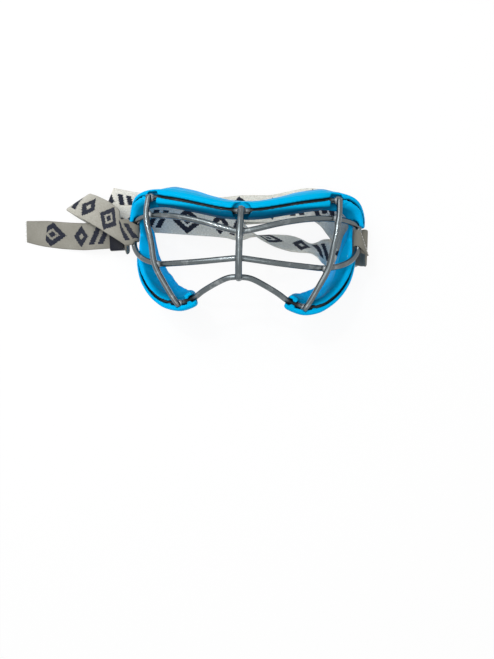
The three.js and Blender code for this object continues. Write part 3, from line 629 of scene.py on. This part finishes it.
def groove_places():
    """Middles of the held wires, with the ways to the eye and out of the groove, and half its mouth."""
    moulding = merged_copy("face_frame")
    walls = BVHTree.FromBMesh(moulding)
    moulding.free()
    low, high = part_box("face_frame")
    goggles_middle = (low + high) / 2
    rays = 96
    most_free = rays * 0.3
    turns = [math.tau * i / rays for i in range(rays)]
    places = []
    for node in HELD_WIRES:
        wire, middles = wire_with_middles(node)
        done = []
        for vertex, middle in middles.items():
            if any((middle - other).length < 1 * MM for other in done):
                continue
            done.append(middle)
            runs = [middles[e.other_vert(vertex)] - middle for e in vertex.link_edges]
            run = max(runs, key=lambda r: r.length).normalized()
            inward = goggles_middle - middle
            inward.z = 0
            inward = (inward - run * inward.dot(run)).normalized()
            side = run.orthogonal().normalized()
            rise = run.cross(side)
            ways = [side * math.cos(turn) + rise * math.sin(turn) for turn in turns]
            free = [way for way in ways if walls.ray_cast(middle, way, WALL_REACH)[0] is None]
            if 2 <= len(free) <= most_free:
                mouth = LIP_HEIGHT * math.tan(math.pi * len(free) / rays)
                places.append((middle, inward, sum(free, Vector()).normalized(), mouth))
            else:
                places.append((middle, inward, None, 0))
        wire.free()
    return places, finder_of([place[0] for place in places])


def held_share(share):
    """A share kept between nought and one."""
    return min(max(share, 0), 1)


def eased_share(share):
    """A share from nought to one that starts and ends gently."""
    share = held_share(share)
    return share * share * (3 - 2 * share)


def blended(vectors, shares):
    """Vectors added up by their shares."""
    return sum((vector * share for vector, share in zip(vectors, shares)), Vector())


def add_mark(mesh, name, values):
    """Gives each point of a mesh a value for its material to read."""
    mesh.attributes.new(name, "FLOAT", "POINT").data.foreach_set("value", values)


def spread_out(mesh, values, times):
    """Values of a mesh's points, evened out with their neighbours' a few times."""
    pairs = [tuple(edge.vertices) for edge in mesh.edges]
    for _ in range(times):
        sums = list(values)
        counts = [1] * len(values)
        for a, b in pairs:
            sums[a] += values[b]
            sums[b] += values[a]
            counts[a] += 1
            counts[b] += 1
        values = [total / count for total, count in zip(sums, counts)]
    return values


def narrowed_groove(mesh, slit, places, finder):
    """Brings the lips together over the held wires, and marks where shade is painted: inside the groove
    and on the eye side.
    """
    groove_shades = [0.0] * len(mesh.vertices)
    eye_shades = [0.0] * len(mesh.vertices)
    marked_height = LIP_HEIGHT * 0.9
    for vertex in mesh.vertices:
        near = finder.find_n(vertex.co, 3)
        shares = [1 / (distance + 0.3 * MM) ** 2 for _, _, distance in near]
        shares = [share / sum(shares) for share in shares]
        found = [places[i] for _, i, _ in near]
        middles, inwards, ways, mouths = zip(*found)
        offset = vertex.co - middles[0]
        towards_eye = offset.dot(blended(inwards, shares))
        # The eye-side mark is where the finish paints shade
        eye_shades[vertex.index] = held_share((towards_eye - EYE_SIDE_SHADE_START) / EYE_SIDE_SHADE_FADE)
        if near[0][2] > WALL_REACH or None in ways:
            continue
        way = blended(ways, shares).normalized()
        mouth = sum(mouth * share for mouth, share in zip(mouths, shares))
        run = (middles[1] - middles[0]).normalized()
        offset -= run * offset.dot(run)
        height = offset.dot(way)
        sideways = offset - way * height
        width = sideways.length
        wall = max(mouth, math.sqrt(max(0, BORE_RADIUS ** 2 - height ** 2)))
        # The groove mark is where the finish paints shade inside the groove
        if abs(height) < marked_height and width < wall + 0.35 * MM:
            groove_shades[vertex.index] = min(1, (marked_height - height) / (0.6 * MM))
        if not (0.4 * MM <= height <= LIP_HEIGHT + 1 * MM and 0.05 * MM <= width <= LIP_REACH):
            continue
        wall = min(wall, LIP_REACH - 0.5 * MM)
        target = max(slit, math.sqrt(max(0, (BORE_RADIUS - 0.1 * MM) ** 2 - height ** 2)))
        if target < wall:
            share = max(0, (width - wall) / (LIP_REACH - wall))
            vertex.co += sideways * ((target + share * (LIP_REACH - target)) / width - 1)
    add_mark(mesh, "groove", spread_out(mesh, groove_shades, 3))
    add_mark(mesh, "eye_side", spread_out(mesh, eye_shades, 3))


def webbing_rings(node, near):
    """The corners of a webbing solid ring by ring, from the end nearest a place."""
    shape = merged_copy(node)
    shape.verts.index_update()
    inner_edges = 6
    corners = [v for v in shape.verts if len(v.link_edges) < inner_edges]
    first = min(corners, key=lambda v: (v.co - near).length)
    ring = {first} | {v for v in corners if any(e.other_vert(v) is first for e in v.link_edges)}
    ring |= {v for v in corners if sum(e.other_vert(v) in ring for e in v.link_edges) >= 2}
    rings = [ring]
    seen = set(ring)
    while True:
        ring = {e.other_vert(v) for v in ring for e in v.link_edges} - seen
        if not ring:
            break
        rings.append(ring)
        seen |= ring
    if any(len(ring) != 4 for ring in rings):
        raise RuntimeError(f"{node} isn't a webbing of four-cornered rings")
    places = [[v.co.copy() for v in sorted(ring, key=lambda v: v.index)] for ring in rings]
    shape.free()
    return places


class Station:
    """One cross-section of the webbing: its middle, half its width and half its thickness."""

    def __init__(self, middle, across, through):
        self.middle = middle
        self.across = across
        self.through = through

    def place(self, x, z):
        """A place on it, as shares of half its width and half its thickness."""
        return self.middle + self.across * x + self.through * z


def mixed_station(stations, weights):
    """A station between others."""
    parts = zip(*((s.middle, s.across, s.through) for s in stations))
    return Station(*(blended(part, weights) for part in parts))


def stations_of(node, near, before):
    """The stations of a webbing node, each turned the way of the one before it."""
    stations = []
    for corners in webbing_rings(node, near):
        a = corners[0]
        b = min(corners[1:], key=lambda c: (c - a).length)
        c, d = [corner for corner in corners[1:] if corner is not b]
        if (c - d).dot(a - b) < 0:
            c, d = d, c
        across = ((a + b) - (c + d)) / 4
        through = ((a - b) + (c - d)) / 4
        if across.dot(before.across) < 0:
            across.negate()
        if through.dot(before.through) < 0:
            through.negate()
        before = Station((a + b + c + d) / 4, across, through)
        stations.append(before)
    return stations


def eased(stations, steps):
    """The stations with more between them, on a smooth curve through them."""
    result = []
    last = len(stations) - 1
    for i in range(last):
        around = [stations[min(max(i + k, 0), last)] for k in (-1, 0, 1, 2)]
        for step in range(steps):
            t = step / steps
            weights = (
                (-t + 2 * t * t - t ** 3) / 2,
                (2 - 5 * t * t + 3 * t ** 3) / 2,
                (t + 4 * t * t - 3 * t ** 3) / 2,
                (t ** 3 - t * t) / 2,
            )
            result.append(mixed_station(around, weights))
    result.append(stations[last])
    return result


# Outline of the webbing as shares of half its width and half its thickness:
# along the face from one selvedge to the other, and back along the reverse
WEBBING_FACE = (
    (-1, 0), (-0.985, 0.62), (-0.93, 0.97), (-0.6, 1.02), (-0.2, 1.04),
    (0.2, 1.04), (0.6, 1.02), (0.93, 0.97), (0.985, 0.62), (1, 0),
)


def lengths_along(stations, start=0):
    """How far along the strap each station lies."""
    lengths = [start]
    for a, b in zip(stations, stations[1:]):
        lengths.append(lengths[-1] + (a.middle - b.middle).length)
    return lengths


def covered_area(stations):
    """The area of one side of the webbing through its stations."""
    return sum(
        (a.across.length + b.across.length) * (a.middle - b.middle).length
        for a, b in zip(stations, stations[1:])
    )


def webbing_band(name, stations, length_before, material):
    """A band of webbing through its stations, with its own strip coordinates."""
    section = [*WEBBING_FACE, *[(x, -z) for x, z in reversed(WEBBING_FACE[1:-1])], WEBBING_FACE[0]]
    columns = len(section)
    turn = len(WEBBING_FACE) - 1
    lengths = lengths_along(stations, length_before)
    band = bmesh.new()
    strip = band.loops.layers.uv.new("webbing")
    grid = bmesh.ops.create_grid(band, x_segments=columns - 1, y_segments=len(stations) - 1, size=1)
    order = {vertex: i for i, vertex in enumerate(grid["verts"])}
    for face in band.faces:
        least = min(order[loop.vert] % columns for loop in face.loops)
        for loop in face.loops:
            row, column = divmod(order[loop.vert], columns)
            share = 0.5 + section[column][0] * 0.499
            loop[strip].uv = (share if least < turn else 1 + share, lengths[row])
    for vertex, i in order.items():
        row, column = divmod(i, columns)
        vertex.co = stations[row].place(*section[column])
    bmesh.ops.remove_doubles(band, verts=band.verts, dist=MERGE_DISTANCE)
    rims = [e for e in band.edges if e.is_boundary]
    bmesh.ops.holes_fill(band, edges=rims, sides=0)
    for edge in rims:
        edge.smooth = False
    bmesh.ops.recalc_face_normals(band, faces=band.faces)
    return new_piece(name, band, material), lengths[-1]


def joint_place(name):
    """Where a joint of the packed model turns."""
    joint = next(j for j in frame["joints"] if j["name"] == name)
    return Vector(joint["pos_m"])


def ear_loop(axis, end, gap, radius, waist, first, last, leg_share=1.0, lift=0.0):
    """Stations of webbing in along its front leg, round the ear wire, and out along its back leg."""
    leg = Vector((end.x - axis.x, 0, end.z - axis.z))
    reach = leg.length
    leg.normalize()
    rise = Vector((-leg.z, 0, leg.x))
    if rise.z < 0:
        rise.negate()
    start = math.acos(radius / math.hypot(reach, gap)) + math.atan2(gap, reach)
    steps, leg_steps = 20, 5
    turns = [start + (math.tau - 2 * start) * i / steps for i in range(steps + 1)]
    round_wire = [(radius * math.cos(turn), radius * math.sin(turn)) for turn in turns]
    x, y = round_wire[0]
    inward = [i / leg_steps for i in range(leg_steps)]
    legs = [(reach + (x - reach) * share, gap + (y - gap) * share) for share in inward]
    front = [(x + (a - x) * leg_share, y + (b - y) * leg_share) for a, b in legs]
    plan = [*front, *round_wire, *[(a, -b) for a, b in reversed(legs)]]
    middles = [axis + leg * x + rise * y for x, y in plan]
    final = len(plan) - 1
    drawn_in = Vector((0, math.copysign(waist, last.across.y), 0))
    stations = []
    for i, middle in enumerate(middles):
        heading = (middles[min(i + 1, final)] - middles[max(i - 1, 0)]).normalized()
        through = heading.cross(Vector((0, 1, 0))) * last.through.length
        share = i / final
        across = first.lerp(drawn_in, eased_share((share - WAIST_FROM) / WAIST_OVER))
        across = across.lerp(last.across, eased_share((share - WIDEN_FROM) / WIDEN_OVER))
        lifted = middle + Vector((0, lift * (1 - eased_share(share / LIFT_OVER)), 0))
        stations.append(Station(lifted, across, through))
    if stations[-1].through.dot(last.through) < 0:
        for station in stations:
            station.through.negate()
    return stations


def gather(stations, across):
    """Draws a run of stations in evenly, from the first's width and slant to those given."""
    start = stations[0].across.copy()
    lengths = lengths_along(stations)
    for station, length in zip(stations, lengths):
        station.across = start.lerp(across, eased_share(length / lengths[-1]))


def cad_courses(near):
    """The stations of the webbing nodes between the ear loops, from the end near a place."""
    courses = {}
    before = Station(near, Vector((0, 1, 0)), Vector((0, 0, 1)))
    for node, _, _ in STRAP_COURSE:
        if node == "strap_left_loop":
            # Round the left ear wire the strap turns its other face up
            before = Station(before.middle, before.across, -before.through)
        elif node != "strap_right_loop":
            courses[node] = stations_of(node, near, before)
            before = courses[node][-1]
            near = before.middle
    return courses


def lay_right_end(courses, axis, radius):
    """Fans the strap out from the right ear wire, and folds its sewn end round that wire."""
    drop = courses["strap_right_drop"]
    first = drop[0]
    side = math.copysign(1, first.across.y)
    first.across = Vector((0, DROP_HALF_WIDTH * side, 0))
    gather(drop[:DROP_FAN], drop[DROP_FAN - 1].across.copy())
    for station, fall in zip(drop, DROP_FALLS):
        station.middle.y -= fall * MM
    end = first.middle + first.through * math.copysign(1, first.through.z)
    loop = ear_loop(
        axis, end, first.through.length, radius, RIGHT_WAIST, CUT_ACROSS * side, first,
        leg_share=CUT_LEG_SHARE, lift=CUT_LIFT,
    )
    for i, station in enumerate(loop):
        share = eased_share((i / (len(loop) - 1) - WIDEN_FROM) / WIDEN_OVER)
        station.middle.y -= share * DROP_FALLS[0] * MM
    courses["strap_right_loop"] = loop


def lay_left_end(courses, axis, radius):
    """Gathers the strap in towards the left ear wire, and leads it round that wire into its tail."""
    run = courses["strap_left_run"]
    gather(run[GATHER_FROM:], RUN_END_ACROSS * math.copysign(1, run[-1].across.y))
    for i, station in enumerate(run[RISE_FROM:]):
        station.middle.y += eased_share(i / RISE_STATIONS) * RUN_RISE
    drop = courses["strap_tail_drop"]
    end = (run[-1].middle + drop[0].middle) / 2
    courses["strap_left_loop"] = ear_loop(
        axis, end, radius, radius, LEFT_WAIST, run[-1].across, drop[0], lift=RUN_RISE,
    )
    narrow, full = drop[0].across.copy(), drop[-1].across.copy()
    lengths = lengths_along(drop)
    for station, length in zip(drop, lengths):
        share = length / lengths[-1]
        station.across = narrow.lerp(full, eased_share(share / TAIL_WIDE_FROM))
        station.middle += TAIL_HOLLOW * math.sin(math.pi * share) ** 0.6

    # The tail is cut on a slant
    tail = courses["strap_tail"]
    outward = (tail[-1].middle - tail[-2].middle).normalized()
    slant = math.copysign(TAIL_SLANT, tail[-1].across.y)
    tail[-1].across += outward * slant
    tail[-2].across += outward * slant * 0.4


def strap_courses():
    """The stations of every webbing node, joined up into one strap."""
    right_axis = joint_place("right_loop_swing")
    left_axis = joint_place("left_loop_swing")
    courses = cad_courses(right_axis)
    low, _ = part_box("strap_right_loop")
    radius = right_axis.x - low.x - courses["strap_right_drop"][0].through.length
    lay_right_end(courses, right_axis, radius)
    lay_left_end(courses, left_axis, radius)
    names = [node for node, _, _ in STRAP_COURSE]
    for a, b in zip(names, names[1:]):
        seam = mixed_station((courses[a][-1], courses[b][0]), (0.5, 0.5))
        courses[a][-1] = seam
        courses[b][0] = seam
    return courses


def threads_piece(name, ends, radius, material):
    """A piece of short tapered lengths of thread between pairs of places."""
    threads = bmesh.new()
    for a, b in ends:
        made = bmesh.ops.create_uvsphere(threads, u_segments=8, v_segments=6, radius=radius)
        along = b - a
        stretch = Matrix.Diagonal((1, 1, along.length / 2 / radius, 1))
        turn = along.to_track_quat("Z", "X").to_matrix().to_4x4()
        matrix = Matrix.Translation((a + b) / 2) @ turn @ stretch
        bmesh.ops.transform(threads, verts=made["verts"], matrix=matrix)
    return new_piece(name, threads, material)


class GOGGLES_OT_moulding(bpy.types.Operator):
    """Make the soft moulded face frame with eased edges"""

    bl_idname = "goggles.moulding"
    bl_label = "Moulding"

    def execute(self, context):
        settings = context.scene.goggles_moulding
        piece = new_piece("moulding", merged_copy("face_frame"), moulding_finish(settings))
        remesh = piece.modifiers.new("grain", "REMESH")
        remesh.mode = "VOXEL"
        remesh.voxel_size = settings.grain
        remesh.use_smooth_shade = True
        apply_modifiers(piece)
        places, finder = groove_places()
        narrowed_groove(piece.data, settings.groove, places, finder)
        walls = piece.vertex_groups.new(name="walls")
        for vertex in piece.data.vertices:
            away = (finder.find(vertex.co)[2] - WALL_EASING_START) / WALL_EASING_FADE
            if away > 0:
                walls.add([vertex.index], min(away, 1), "REPLACE")
        for times, group in ((settings.easing, ""), (settings.easing * WALL_EASING, walls.name)):
            smooth = piece.modifiers.new("easing", "SMOOTH")
            smooth.factor = 0.5
            smooth.iterations = times
            smooth.vertex_group = group
        apply_modifiers(piece)
        piece.vertex_groups.clear()
        shift_crossings(piece.data.vertices, crossing_shifts())
        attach(piece, "goggles")
        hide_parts("face_frame")
        return {"FINISHED"}


class GOGGLES_OT_cage(bpy.types.Operator):
    """Make the round wires of the cage"""

    bl_idname = "goggles.cage"
    bl_label = "Cage wires"

    def execute(self, context):
        material = wire_finish(context.scene.goggles_cage)
        places, finder = groove_places()
        crossings = crossing_shifts()
        for node in CAGE_NODES:
            shape = merged_copy(node)
            bmesh.ops.join_triangles(
                shape, faces=shape.faces,
                angle_face_threshold=math.pi, angle_shape_threshold=math.pi,
            )
            shape.normal_update()
            lost_in_rounding = 0.13 * MM
            for vertex in shape.verts:
                vertex.co += vertex.normal * lost_in_rounding
            piece = new_piece(f"{node}_wire", shape, material)
            ways = [places[finder.find(vertex.co)[1]][2] for vertex in piece.data.vertices]
            # The held mark is where the wire's finish paints shade in the moulding's groove
            held = [float(node in HELD_WIRES and way is not None) for way in ways]
            add_mark(piece.data, "held", held)
            shift_crossings(piece.data.vertices, crossings)
            rounding = piece.modifiers.new("rounding", "SUBSURF")
            rounding.levels = 2
            rounding.render_levels = 2
            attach(piece, "goggles")
            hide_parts(node)
        return {"FINISHED"}


class GOGGLES_OT_weld_beads(bpy.types.Operator):
    """Make a weld bead wherever an upright bar crosses a wire"""

    bl_idname = "goggles.weld_beads"
    bl_label = "Weld beads"

    def execute(self, context):
        settings = context.scene.goggles_cage
        material = bead_finish(settings)
        beads = bmesh.new()
        for bar in UPRIGHT_BARS:
            for wire in CROSSED_WIRES:
                on_bar, on_wire = nearest_middles(bar, wire)
                middle = (on_bar + on_wire) / 2
                made = bmesh.ops.create_icosphere(beads, subdivisions=3, radius=1)
                turn = (on_bar - on_wire).to_track_quat("Z", "X").to_matrix().to_4x4()
                radius = settings.bead_radius
                size = Matrix.Diagonal((radius, radius, settings.bead_depth, 1))
                for vertex in made["verts"]:
                    vertex.co *= 1 + 0.14 * noise.noise(vertex.co * 1.7 + middle / MM)
                matrix = Matrix.Translation(middle) @ turn @ size
                bmesh.ops.transform(beads, verts=made["verts"], matrix=matrix)
        shift_crossings(beads.verts, crossing_shifts())
        piece = new_piece("weld_beads", beads, material)
        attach(piece, "goggles")
        return {"FINISHED"}


class GOGGLES_OT_strap(bpy.types.Operator):
    """Make the folded strap with its ear loops, in the order in which it runs"""

    bl_idname = "goggles.strap"
    bl_label = "Strap and ear loops"

    def execute(self, context):
        courses = strap_courses()
        width = 2 * max(s.across.length for s in courses["strap_back_runs"])
        whole = sum(lengths_along(courses[node])[-1] for node, _, _ in STRAP_COURSE)
        material = webbing_finish(context.scene.goggles_webbing, width, whole)
        length = 0.0
        for node, first_body, last_body in STRAP_COURSE:
            stations = courses[node]
            finer = stations if node.endswith("loop") else eased(stations, 2)
            band, length = webbing_band(node.replace("strap", "webbing"), finer, length, material)
            if first_body == last_body:
                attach(band, first_body)
            else:
                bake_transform(band)
            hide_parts(node)
            long = lengths_along(stations)[-1]
            area = max(min(covered_area(stations), width * long), LEAST_AREA_SHARE * width * long)
        return {"FINISHED"}


class GOGGLES_OT_stitching(bpy.types.Operator):
    """Sew the strap's end by the right ear wire, and fray the end of its tail"""

    bl_idname = "goggles.stitching"
    bl_label = "Stitching and frayed end"

    def execute(self, context):
        settings = context.scene.goggles_trim
        radius = settings.stitch_radius
        courses = strap_courses()
        seam = self.seam(courses["strap_right_loop"], settings.stitches)
        piece = threads_piece("stitching", seam, radius, thread_finish(settings))
        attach(piece, "right_loop")
        strays = self.strays(courses["strap_tail"])
        piece = threads_piece("frayed_end", strays, radius * 0.75, thread_finish(settings))
        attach(piece, "goggles")
        return {"FINISHED"}

    @staticmethod
    def seam(stations, count):
        """Ends of the stitches of a zigzag over the cut end of the loop's front leg."""
        cut = stations[0]
        inward = (stations[1].middle - cut.middle).normalized()
        outward = cut.through.normalized()
        if outward.z < 0:
            outward.negate()
        half_thickness = cut.through.length
        reach = 0.94
        spots = []
        for i in range(count + 1):
            edge = cut.middle + cut.across * (-reach + 2 * reach * i / count)
            if i % 2:
                spots.append(edge + inward * 0.8 * MM + outward * (half_thickness + 0.15 * MM))
            else:
                spots.append(edge - inward * 0.7 * MM + outward * (half_thickness * 0.2))
        return list(zip(spots, spots[1:]))

    @staticmethod
    def strays(stations):
        """Roots and tips of the loose threads along the cut end of the tail."""
        cut = stations[-1]
        outward = (cut.middle - stations[-2].middle).normalized()
        count = 44
        reach = 0.96
        ends = []
        for i in range(count):
            stray = (i * 0.618) % 1
            root = cut.place(-reach + 2 * reach * i / (count - 1), (stray - 0.5) * 1.4)
            sideways = cut.across.normalized() * (((i * 0.377) % 1) - 0.5) * 0.9 * MM
            length = (0.35 + 1.1 * stray ** 2) * MM
            tip = root + outward * length + sideways + cut.through * (stray - 0.5)
            ends.append((root - outward * 0.3 * MM, tip))
        return ends


class GOGGLES_OT_keeper(bpy.types.Operator):
    """Make the moulded keeper that slides on the strap's tail"""

    bl_idname = "goggles.keeper"
    bl_label = "Strap keeper"

    def execute(self, context):
        shape = merged_copy("strap_keeper")
        bmesh.ops.dissolve_limit(
            shape, angle_limit=math.radians(2), verts=shape.verts, edges=shape.edges,
        )
        edges = [e for e in shape.edges if e.calc_face_angle(0) > math.radians(50)]
        bmesh.ops.bevel(
            shape, geom=edges, offset=0.3 * MM, offset_type="OFFSET", affect="EDGES",
            segments=3, profile=0.5, material=-1, clamp_overlap=True,
        )
        piece = new_piece("keeper", shape, keeper_finish(context.scene.goggles_trim))
        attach(piece, "keeper")
        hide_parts("strap_keeper")
        return {"FINISHED"}


class GOGGLES_OT_stage(bpy.types.Operator):
    """Make the floor, the light and the camera at the photograph's viewpoint"""

    bl_idname = "goggles.stage"
    bl_label = "Floor, light and camera"

    def execute(self, context):
        settings = context.scene.goggles_stage
        scene = context.scene
        floor = bmesh.new()
        bmesh.ops.create_grid(floor, x_segments=1, y_segments=1, size=FLOOR_HALF_SIZE)
        bmesh.ops.translate(floor, verts=floor.verts, vec=(0, 0, -FLOOR_GAP))
        new_piece("floor", floor, floor_finish(settings))

        middle = (cad_low + cad_high) / 2
        for name, (power, size, offset) in LAMPS.items():
            light = bpy.data.lights.new(name, "AREA")
            light.energy = getattr(settings, power)
            light.size = size
            lamp = bpy.data.objects.new(name, light)
            lamp.location = middle + Vector(offset)
            lamp.rotation_mode = "QUATERNION"
            lamp.rotation_quaternion = (-Vector(offset)).to_track_quat("-Z", "Y")
            scene.collection.objects.link(lamp)
        scene.world = even_sky(settings)
        scene.view_settings.view_transform = "Standard"

        lens = bpy.data.cameras.new("viewpoint")
        lens.sensor_width = SENSOR_LONG_SIDE_MM
        lens.lens = CAMERA_FOCAL_PIXELS / PHOTO_HEIGHT_PIXELS * SENSOR_LONG_SIDE_MM
        lens.clip_start = 0.01
        turn = Matrix.Rotation(CAMERA_YAW, 4, "Y") @ Matrix.Rotation(CAMERA_ROLL, 4, "Z")
        camera = bpy.data.objects.new("viewpoint", lens)
        camera.matrix_world = Matrix.Translation(CAMERA_PLACE) @ turn
        scene.collection.objects.link(camera)
        scene.camera = camera
        return {"FINISHED"}


OPERATORS = (
    GOGGLES_OT_stage, GOGGLES_OT_moulding, GOGGLES_OT_cage, GOGGLES_OT_weld_beads,
    GOGGLES_OT_strap, GOGGLES_OT_stitching, GOGGLES_OT_keeper,
)
SETTINGS = {
    "goggles_moulding": MouldingSettings,
    "goggles_cage": CageSettings,
    "goggles_webbing": WebbingSettings,
    "goggles_trim": TrimSettings,
    "goggles_stage": StageSettings,
}


class GOGGLES_PT_parts(bpy.types.Panel):
    """The goggles' pieces and their settings"""

    bl_idname = "GOGGLES_PT_parts"
    bl_label = "Wire Cage Goggles"
    bl_space_type = "VIEW_3D"
    bl_region_type = "UI"
    bl_category = "Goggles"

    def draw(self, context):
        layout = self.layout
        for operator in OPERATORS:
            layout.operator(operator.bl_idname)
        for name, group in SETTINGS.items():
            box = layout.box()
            box.label(text=group.__doc__)
            settings = getattr(context.scene, name)
            for setting in group.__annotations__:
                box.prop(settings, setting)


def register():
    for name, group in SETTINGS.items():
        bpy.utils.register_class(group)
        setattr(bpy.types.Scene, name, PointerProperty(type=group))
    for operator in OPERATORS:
        bpy.utils.register_class(operator)
    bpy.utils.register_class(GOGGLES_PT_parts)


def unregister():
    bpy.utils.unregister_class(GOGGLES_PT_parts)
    for operator in reversed(OPERATORS):
        bpy.utils.unregister_class(operator)
    for name, group in SETTINGS.items():
        delattr(bpy.types.Scene, name)
        bpy.utils.unregister_class(group)


def main():
    """Registers the add-on and makes every piece."""
    register()
    bpy.ops.goggles.stage()
    bpy.ops.goggles.moulding()
    bpy.ops.goggles.cage()
    bpy.ops.goggles.weld_beads()
    bpy.ops.goggles.strap()
    bpy.ops.goggles.stitching()
    bpy.ops.goggles.keeper()


if __name__ == "__main__":
    main()
